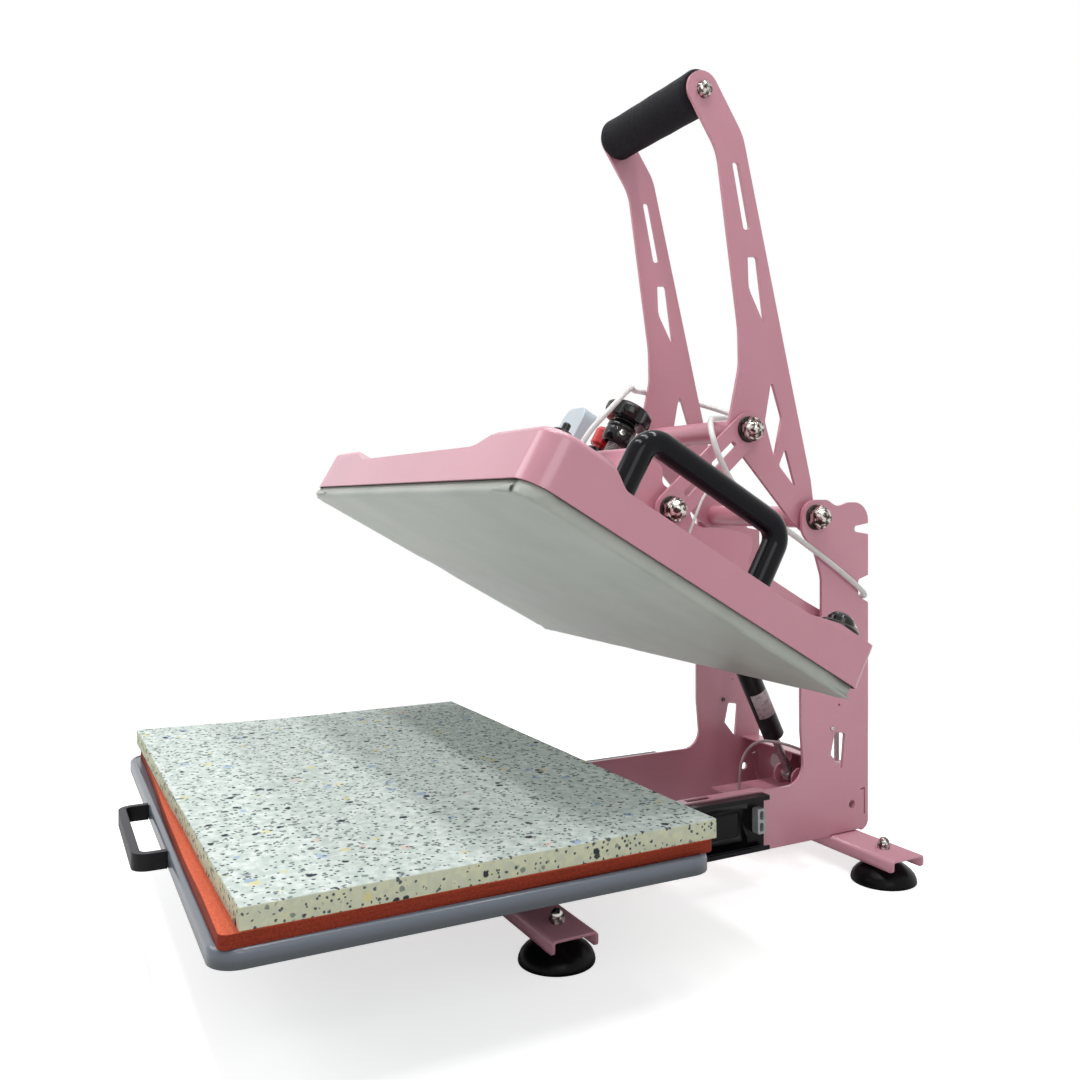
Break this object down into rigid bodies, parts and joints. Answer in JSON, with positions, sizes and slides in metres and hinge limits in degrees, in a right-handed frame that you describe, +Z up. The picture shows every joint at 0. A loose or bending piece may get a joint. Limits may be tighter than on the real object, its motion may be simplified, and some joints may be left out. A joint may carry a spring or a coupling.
{
  "type": "heat press",
  "caption": "Clamshell heat press with slotted toggle lever, tilting heated platen, gas spring, pull-out padded drawer and suction feet.",
  "frame": {"origin": "on the floor under the middle of the overall box", "axes": "+Z up, -Y to the user and the drawer pull, +X to the user's right"},
  "size_m": [0.6184, 0.816, 0.91],
  "materials": {
    "pink_paint": "pink powder coat, satin",
    "slide_black": "black plated slide steel",
    "cap_grey": "grey moulded end cap",
    "cup_rubber": "dark rubber suction cup",
    "chrome_nut": "polished cap nut",
    "steel": "bright steel",
    "tray_blue": "blue-grey paint, satin",
    "silicone_red": "brick red silicone",
    "foam_speckled": "pale green foam with dark specks",
    "black_bar": "black paint, satin",
    "wrap_grey": "grey-green non-stick sheet",
    "casting": "cast plate",
    "tube_black": "glossy black tube",
    "knob_black": "glossy black knob",
    "housing_blue": "light blue-grey housing",
    "display_dark": "dark display pane",
    "key_white": "pale keys",
    "button_red": "red push button",
    "grip_foam": "black foam grip",
    "gas_black": "black cylinder",
    "rod_steel": "grey steel rod",
    "cable_white": "white cable jacket",
    "cable_grey": "grey thin cable",
    "plug_white": "white plug",
    "gland_black": "black gland"
  },
  "bodies": {
    "frame": {"side_plate_right": "pink_paint", "side_plate_left": "pink_paint", "rear_panel": "pink_paint", "base_panels": "pink_paint", "front_foot_beam": "pink_paint", "rear_foot_beam": "pink_paint", "suction_cups_front": "cup_rubber", "suction_cups_rear": "cup_rubber", "foot_nuts": "chrome_nut", "handle_pivot_pins": "steel", "handle_pivot_nuts": "chrome_nut", "main_shaft": "steel", "gas_spring_bracket": "pink_paint", "rear_plug": "plug_white", "slide_outer": "slide_black", "slide_stops": "cap_grey", "main_cable": "cable_white", "inner_cable": "cable_grey"},
    "slide_carriage": {"slide_middle": "slide_black"},
    "drawer": {"slide_inner": "slide_black", "drawer_frame": "slide_black", "tray": "tray_blue", "silicone_sheet": "silicone_red", "foam_pad": "foam_speckled", "drawer_pull": "black_bar"},
    "platen": {"wrap_sheet": "wrap_grey", "heated_casting": "casting", "platen_cover": "pink_paint", "carrier_flange_right": "pink_paint", "carrier_flange_left": "pink_paint", "carrier_base": "pink_paint", "carrier_bridge": "pink_paint", "carrier_cross_members": "pink_paint", "side_handle_right": "tube_black", "side_handle_left": "tube_black", "corner_fitting": "gland_black", "cable_gland": "gland_black", "stud_nut": "steel", "stop_button_collar": "steel", "controller_housing": "housing_blue", "controller_display": "display_dark", "heater_cable": "cable_grey"},
    "pressure_screw": {"pressure_stud": "steel", "pressure_knob": "knob_black"},
    "stop_button": {"stop_button": "button_red"},
    "key_down": {"key_down": "key_white"},
    "key_set": {"key_set": "key_white"},
    "key_up": {"key_up": "key_white"},
    "lever": {"handle_arm_right": "pink_paint", "handle_arm_left": "pink_paint", "grip_rod": "steel", "foam_grip": "grip_foam", "lever_tubes": "pink_paint", "knee_nuts": "chrome_nut"},
    "links": {"toggle_link_right": "pink_paint", "toggle_link_left": "pink_paint", "link_foot_pins": "steel", "link_foot_nuts": "chrome_nut"},
    "gas_rod": {"gas_spring_rod": "rod_steel"},
    "gas_cylinder": {"gas_spring_cylinder": "gas_black"}
  },
  "joints": [
    {"name": "platen_tilt", "type": "hinge", "parent": "frame", "child": "platen", "pos_m": [0, 0.366, 0.27], "axis": [1, 0, 0], "range_deg": [0, 29.5], "stiffness_Nm_per_rad": 70, "springref_deg": -71.62, "deforming": ["main_cable", "heater_cable"]},
    {"name": "handle_swing", "type": "hinge", "parent": "frame", "child": "lever", "pos_m": [0, 0.325, 0.412], "axis": [1, 0, 0], "range_deg": [0, 71.17]},
    {"name": "link_swing", "type": "hinge", "parent": "lever", "child": "links", "pos_m": [0, 0.22948, 0.5116], "axis": [1, 0, 0], "range_deg": [-81.08, 0]},
    {"name": "gas_spring_swing", "type": "hinge", "parent": "frame", "child": "gas_rod", "pos_m": [0, 0.377, 0.08], "axis": [1, 0, 0], "range_deg": [0, 5.2]},
    {"name": "gas_spring_stroke", "type": "slide", "parent": "gas_rod", "child": "gas_cylinder", "axis": [0, -0.4524, 0.8918], "range_m": [-0.0437, 0]},
    {"name": "drawer_slide", "type": "slide", "parent": "frame", "child": "drawer", "axis": [0, 1, 0], "range_m": [0, 0.2]},
    {"name": "slide_carriage_travel", "type": "slide", "parent": "frame", "child": "slide_carriage", "axis": [0, 1, 0], "range_m": [0, 0.1]},
    {"name": "pressure_turn", "type": "hinge", "parent": "platen", "child": "pressure_screw", "pos_m": [0, 0.11334, 0.49682], "axis": [0, 0.4924, 0.8704], "continuous": true},
    {"name": "stop_button_press", "type": "slide", "parent": "platen", "child": "stop_button", "axis": [0, -0.4924, -0.8704], "range_m": [0, 0.004], "stiffness_N_per_m": 500, "springref_m": -0.003},
    {"name": "key_down_press", "type": "slide", "parent": "platen", "child": "key_down", "axis": [0, 0.8704, -0.4924], "range_m": [0, 0.0009], "stiffness_N_per_m": 400, "springref_m": -0.0005},
    {"name": "key_set_press", "type": "slide", "parent": "platen", "child": "key_set", "axis": [0, 0.8704, -0.4924], "range_m": [0, 0.0009], "stiffness_N_per_m": 400, "springref_m": -0.0005},
    {"name": "key_up_press", "type": "slide", "parent": "platen", "child": "key_up", "axis": [0, 0.8704, -0.4924], "range_m": [0, 0.0009], "stiffness_N_per_m": 400, "springref_m": -0.0005}
  ],
  "couplings": [
    {"joint": "handle_swing", "follows": "platen_tilt", "ratio": 2.4126},
    {"joint": "link_swing", "follows": "platen_tilt", "ratio": -2.7484},
    {"joint": "gas_spring_swing", "follows": "platen_tilt", "ratio": 0.1628},
    {"joint": "gas_spring_stroke", "follows": "platen_tilt", "m_per_rad": -0.08442},
    {"joint": "slide_carriage_travel", "follows": "drawer_slide", "ratio": 0.5}
  ]
}
